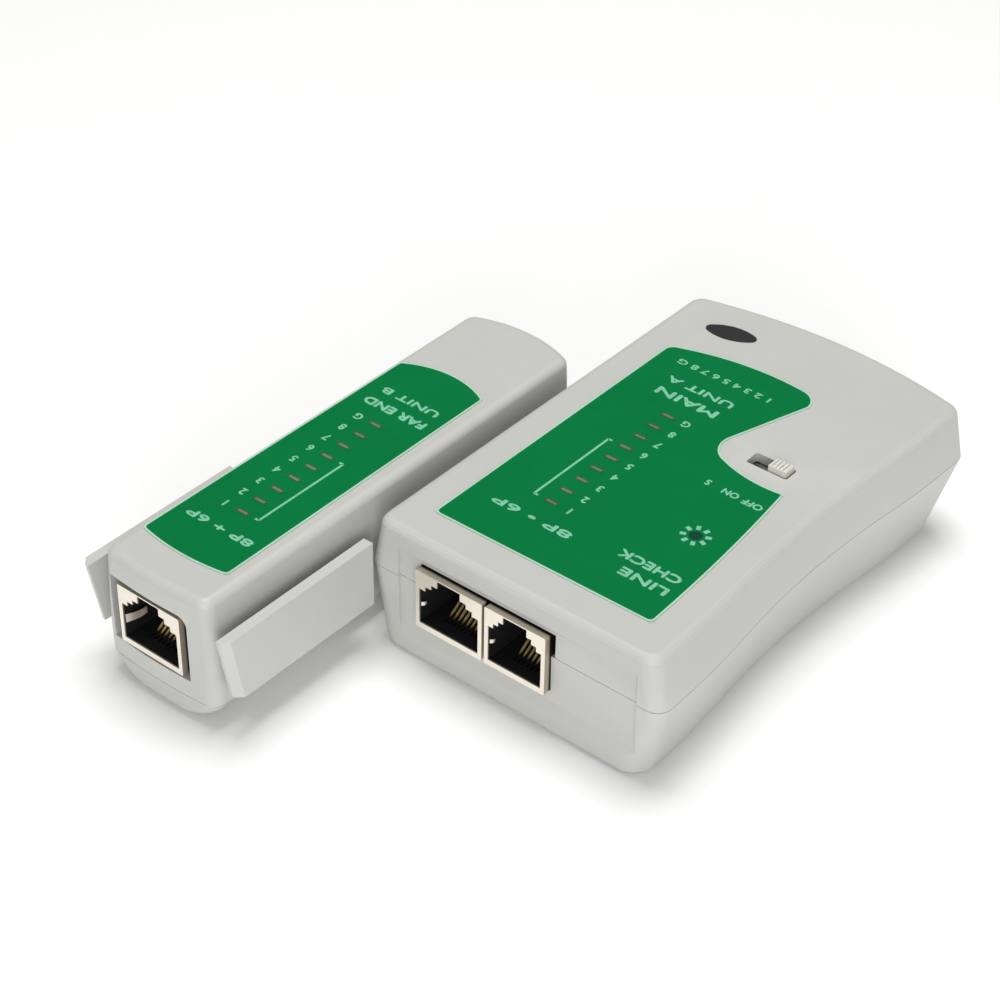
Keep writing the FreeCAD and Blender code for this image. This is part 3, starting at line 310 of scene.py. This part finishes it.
# a lamp's window in the overlay: the length and width of each patch, from the lowest layer up; the top
# patch is a painted highlight
LAMP_COVER_SIZE = (4.1, 1.5)
LAMP_RIM_SIZE = (3.3, 1.3)
LAMP_PAINTED_HIGHLIGHT_SIZE = (2.4, 0.6)


def place_print(name, mesh, body, ink=INK, layer=1):
    """Ink lies just above its overlay, one thin layer over another, and rides on the unit's body."""
    piece = bpy.data.objects.new(name, mesh)
    bpy.context.scene.collection.objects.link(piece)
    mesh.transform(Matrix.Translation((0, 0, LABEL_TOP + INK_LIFT * layer)))
    mesh.materials.clear()
    mesh.materials.append(ink)
    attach(piece, body)
    return piece


def embolden(mesh, bold):
    """Thicker strokes: copies pushed a little apart, each a hair above the one before."""
    thick = bmesh.new()
    for number, (right, up) in enumerate(((1, 0), (-1, 0), (0, 1), (0, -1))):
        copy = mesh.copy()
        copy.transform(Matrix.Translation((right * bold * MM, up * bold * MM, number * COPY_LIFT)))
        thick.from_mesh(copy)
        bpy.data.meshes.remove(copy)
    thick.to_mesh(mesh)
    thick.free()


def words(name, body, text, x, y, cap_height, width, bold):
    """A line of print centred at (x, y) that reads from the rear; a width of None keeps the font's own."""
    curve = bpy.data.curves.new(name, "FONT")
    curve.body = text
    curve.align_x = "CENTER"
    curve.align_y = "CENTER"
    curve.size = cap_height * MM / CAP_SHARE
    curve.resolution_u = 4
    shaper = bpy.data.objects.new(name + "_shape", curve)
    mesh = bpy.data.meshes.new_from_object(shaper)
    bpy.data.objects.remove(shaper)
    mesh.name = name
    across = [vertex.co.x for vertex in mesh.vertices]
    stretch = width * MM / (max(across) - min(across)) if width else 1.0
    mesh.transform(Matrix.Diagonal((stretch, 1, 1, 1)))
    embolden(mesh, bold)
    mesh.transform(Matrix.Translation((x * MM, y * MM, 0)) @ Matrix.Rotation(math.pi, 4, "Z"))
    return place_print(name, mesh, body)


def strip(name, body, points, width):
    """Flat ink strips: each item is a start and an end in millimetres."""
    mesh = bpy.data.meshes.new(name)
    corners, faces = [], []
    for start, end in points:
        start, end = Vector(start) * MM, Vector(end) * MM
        side = (end - start).normalized().orthogonal() * width * MM / 2
        first = len(corners)
        corners += [(*(start + side), 0), (*(start - side), 0), (*(end - side), 0), (*(end + side), 0)]
        faces.append((first, first + 1, first + 2, first + 3))
    mesh.from_pydata(corners, [], faces)
    return place_print(name, mesh, body)


def outer_loop(node):
    """The overlay's outline, anticlockwise: the longest rim of its top faces."""
    mesh = frame["nodes"][node].data
    level = max(vertex.co.z for vertex in mesh.vertices) - 0.01 * MM
    use = {}
    spots = {}
    for polygon in mesh.polygons:
        corners = [mesh.vertices[index].co for index in polygon.vertices]
        if min(corner.z for corner in corners) < level:
            continue
        keys = [(round(corner.x, 6), round(corner.y, 6)) for corner in corners]
        spots.update({key: Vector(key) for key in keys})
        for start, stop in zip(keys, keys[1:] + keys[:1]):
            use[start, stop] = use.get((start, stop), 0) + 1
    following = {start: stop for start, stop in use if (stop, start) not in use}
    loops = []
    while following:
        first = next(iter(following))
        loop = [first]
        while loop[-1] in following:
            loop.append(following.pop(loop[-1]))
        loops.append([spots[key] for key in loop[:-1]])
    return max(loops, key=lambda loop: sum((a - b).length for a, b in zip(loop, loop[1:])))


def border(name, node, body, width):
    """A pale line of print that follows the overlay's edge."""
    loop = outer_loop(node)
    count = len(loop)
    inner = []
    for number, spot in enumerate(loop):
        before = (spot - loop[number - 1]).normalized()
        after = (loop[(number + 1) % count] - spot).normalized()
        along = (before + after).normalized()
        inwards = Vector((-along.y, along.x))
        inner.append(spot + inwards * width * MM / max(0.5, before.dot(along)))
    mesh = bpy.data.meshes.new(name)
    corners = [(spot.x, spot.y, 0) for spot in loop + inner]
    faces = [(i, (i + 1) % count, count + (i + 1) % count, count + i) for i in range(count)]
    mesh.from_pydata(corners, [], faces)
    return place_print(name, mesh, body, BORDER)


def disc(name, body, x, y, radius, ink):
    """A round patch of ink."""
    mesh = bpy.data.meshes.new(name)
    sides = 40
    turns = [2 * math.pi * side / sides for side in range(sides)]
    rim = [((x + radius * math.cos(turn)) * MM, (y + radius * math.sin(turn)) * MM, 0) for turn in turns]
    mesh.from_pydata(rim, [], [tuple(range(sides))])
    return place_print(name, mesh, body, ink)


def lamp_window(name, body, x, y, size, ink, layer):
    """A long patch of ink with rounded ends, over one lamp."""
    mesh = bpy.data.meshes.new(name)
    length, width = size
    sides = 32
    rim = []
    for side in range(sides):
        turn = 2 * math.pi * (side + 0.5) / sides
        across, along = math.cos(turn), math.sin(turn)
        end = math.copysign((length - width) / 2, across)
        rim.append(((x + end + across * width / 2) * MM, (y + along * width / 2) * MM, 0))
    mesh.from_pydata(rim, [], [tuple(range(sides))])
    return place_print(name, mesh, body, ink, layer)


def lamp_places(node):
    """The x of the column of nine lamps and each lamp's y, in millimetres."""
    low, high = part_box(node)
    column = (low.x + high.x) / 2 / MM
    lamp_depth = 2.2
    first, last = low.y / MM + lamp_depth / 2, high.y / MM - lamp_depth / 2
    return column, [first + (last - first) * step / 8 for step in range(9)]


def print_scale(prefix, node, body, digit_side, bracket_side):
    """The numbers beside the lamps, the lamps' windows with a painted highlight in each, the bracket round
    the first six and the border.
    """
    column, places = lamp_places(node)
    green = MATERIALS["label_green"]
    for figure, y in zip("12345678G", places):
        words(f"{prefix}_mark_{figure}", body, figure, column + digit_side, y, 1.8, None, 0.10)
        lamp = f"{prefix}_lamp"
        lamp_window(f"{lamp}_cover_{figure}", body, column, y, LAMP_COVER_SIZE, green, 1)
        lamp_window(f"{lamp}_rim_{figure}", body, column, y, LAMP_RIM_SIZE, LAMP_RIM, 2)
        # the top layer is a painted highlight, set a little off the lamp's middle
        lamp_window(f"{lamp}_painted_highlight_{figure}", body, column + 0.1, y - 0.05, LAMP_PAINTED_HIGHLIGHT_SIZE, LAMP_PAINTED_HIGHLIGHT, 3)
    x = column + bracket_side
    inward = math.copysign(BRACKET_STUB, -bracket_side)
    first, sixth = places[0], places[5]
    lines = [((x, first), (x, sixth)), ((x, first), (x + inward, first)), ((x, sixth), (x + inward, sixth))]
    strip(f"{prefix}_bracket", body, lines, BRACKET_WIDTH)
    border(f"{prefix}_border", f"{prefix}_label", body, BORDER_WIDTH)


def print_master():
    body = "master"
    print_scale("master", "master_leds", body, 4.4, -4.1)
    # the x and y of each line's centre, its cap height, its width and how bold it is, in millimetres
    words("master_ports", body, "8P • 6P", -9.8, -34.3, 1.9, 18.0, 0.12)
    words("master_title_upper", body, "LINE", 17.0, -35.9, 2.1, 10.2, 0.14)
    words("master_title_lower", body, "CHECK", 15.4, -31.8, 2.1, 13.4, 0.14)
    words("master_off", body, "OFF", 18.9, -4.9, 1.6, 4.2, 0.10)
    words("master_on", body, "ON", 13.8, -4.7, 1.6, 3.4, 0.10)
    words("master_slow", body, "S", 8.6, -4.5, 1.6, None, 0.10)
    words("master_unit", body, "MAIN", -10.0, 14.3, 2.3, 14.0, 0.18)
    words("master_unit_letter", body, "UNIT A", -9.9, 18.9, 1.9, 15.5, 0.12)
    words("master_count", body, "1 2 3 4 5 6 7 8 G", -8.6, 25.2, 1.6, 22.0, 0.08)
    print_power_star(body)


def print_power_star(body):
    """A dark window over the power lamp with eight short rays round it."""
    low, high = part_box("master_power_led")
    middle = Vector(((low.x + high.x) / 2 / MM, (low.y + high.y) / 2 / MM))
    window_radius, ray_start, ray_end, ray_width = 1.3, 1.8, 3.0, 0.85
    rays = []
    for ray in range(8):
        turn = math.pi / 4 * ray + math.pi / 8
        way = Vector((math.cos(turn), math.sin(turn)))
        rays.append((middle + way * ray_start, middle + way * ray_end))
    strip("master_power_rays", body, rays, ray_width)
    disc("master_power_window", body, middle.x, middle.y, window_radius, LAMP_MASK)


def print_remote():
    body = "remote"
    column, places = lamp_places("remote_leds")
    print_scale("remote", "remote_leds", body, -4.3, 4.1)
    middle = column + 0.2
    words("remote_ports", body, "8P + 6P", middle, places[0] - 6.0, 1.8, 16.0, 0.12)
    words("remote_unit", body, "FAR END", middle, places[8] + 5.6, 2.1, 15.0, 0.16)
    words("remote_unit_letter", body, "UNIT B", middle, places[8] + 10.2, 1.8, 14.0, 0.12)


# ---------------------------------------------------------------- springs inside the jacks


def ground_spring(name, shield, body, reach, lean, half_height):
    """A tongue of sheet that bows into the jack from the left edge of its window, just behind its front.

    It is reach long, bows out by lean and is twice half_height high at its root, in millimetres.
    """
    low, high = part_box(shield)
    frame_side, setback, sheet = 0.9 * MM, 0.5 * MM, 0.12 * MM
    rise_share, bow_share, taper_share = 0.39, 0.62, 0.25
    left, front = low.x + frame_side, low.y + setback
    middle = low.z + (high.z - low.z) * rise_share
    mesh = bmesh.new()
    steps = 8
    rows = []
    for step in range(steps + 1):
        along = step / steps
        bend = math.sin(along * math.pi * bow_share)
        taper = half_height * MM * (1 - taper_share * along)
        x, y = left + lean * MM * bend, front + reach * MM * along
        rows.append([mesh.verts.new((x + side * sheet, y, middle + up * taper))
                     for side, up in ((0, -1), (0, 1), (1, 1), (1, -1))])
    for near, far in zip(rows, rows[1:]):
        for number in range(4):
            after = (number + 1) % 4
            mesh.faces.new((near[number], near[after], far[after], far[number]))
    mesh.faces.new(rows[0][::-1])
    mesh.faces.new(rows[-1])
    bmesh.ops.recalc_face_normals(mesh, faces=mesh.faces)
    data = bpy.data.meshes.new(name)
    mesh.to_mesh(data)
    mesh.free()
    piece = bpy.data.objects.new(name, data)
    bpy.context.scene.collection.objects.link(piece)
    data.materials.append(MATERIALS["jack_metal"])
    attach(piece, body)


def add_ground_springs():
    ground_spring("remote_ground_spring", "remote_jack_shield", "remote", 4.4, 1.0, 0.95)
    ground_spring("rj45_ground_spring", "rj45_jack_shield", "master", 1.0, 0.5, 0.45)
    ground_spring("rj11_ground_spring", "rj11_jack_shield", "master", 1.0, 0.5, 0.45)


add_camera()
add_studio()
dress_cad_nodes()
print_master()
print_remote()
add_ground_springs()
